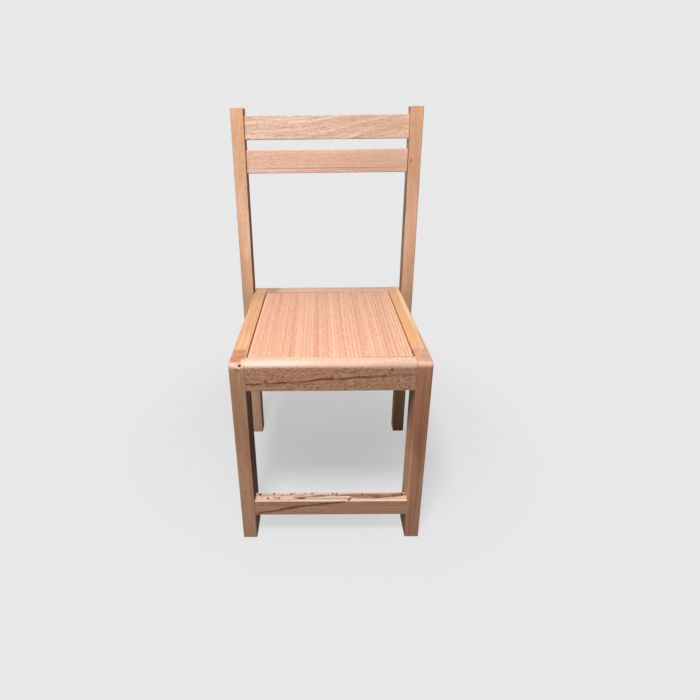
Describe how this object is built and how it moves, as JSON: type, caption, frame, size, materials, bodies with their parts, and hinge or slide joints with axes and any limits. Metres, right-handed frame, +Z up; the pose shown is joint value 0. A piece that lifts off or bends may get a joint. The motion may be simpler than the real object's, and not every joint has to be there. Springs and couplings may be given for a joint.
{
  "type": "child's stacking chair",
  "caption": "Child-size raw beech stacking chair: raked back posts set outside the seat frame, slatted back, inset veneered seat panel and a low front stretcher.",
  "frame": {"origin": "on the floor under the middle of the chair's bounding box", "axes": "+Z up, +X to the right of someone facing the chair, +Y from the front of the seat to the backrest"},
  "size_m": [0.326, 0.306, 0.65],
  "materials": {
    "raw_beech": "planed and sanded, unfinished",
    "seat_veneer": "sliced beech veneer on plywood, sanded, unfinished",
    "cleat_wood": "sawn beech offcuts",
    "dowel_wood": "turned beech dowel",
    "screw_steel": "zinc plated steel",
    "pin_steel": "dull bare steel"
  },
  "bodies": {
    "root": {"left_front_leg": "raw_beech", "right_front_leg": "raw_beech", "left_back_post": "raw_beech", "right_back_post": "raw_beech", "left_side_rail": "raw_beech", "right_side_rail": "raw_beech", "front_rail": "raw_beech", "back_rail": "raw_beech", "front_stretcher": "raw_beech", "top_slat": "raw_beech", "lower_slat": "raw_beech", "seat_panel": "seat_veneer", "left_seat_cleat": "cleat_wood", "right_seat_cleat": "cleat_wood", "front_seat_cleat": "cleat_wood", "back_seat_cleat": "cleat_wood", "side_rail_dowels": "dowel_wood", "back_rail_dowels": "dowel_wood", "left_post_screws": "screw_steel", "right_post_screws": "screw_steel", "cleat_screws": "screw_steel", "panel_screws": "screw_steel", "slat_pins": "pin_steel", "front_rail_brad": "pin_steel"}
  },
  "joints": []
}
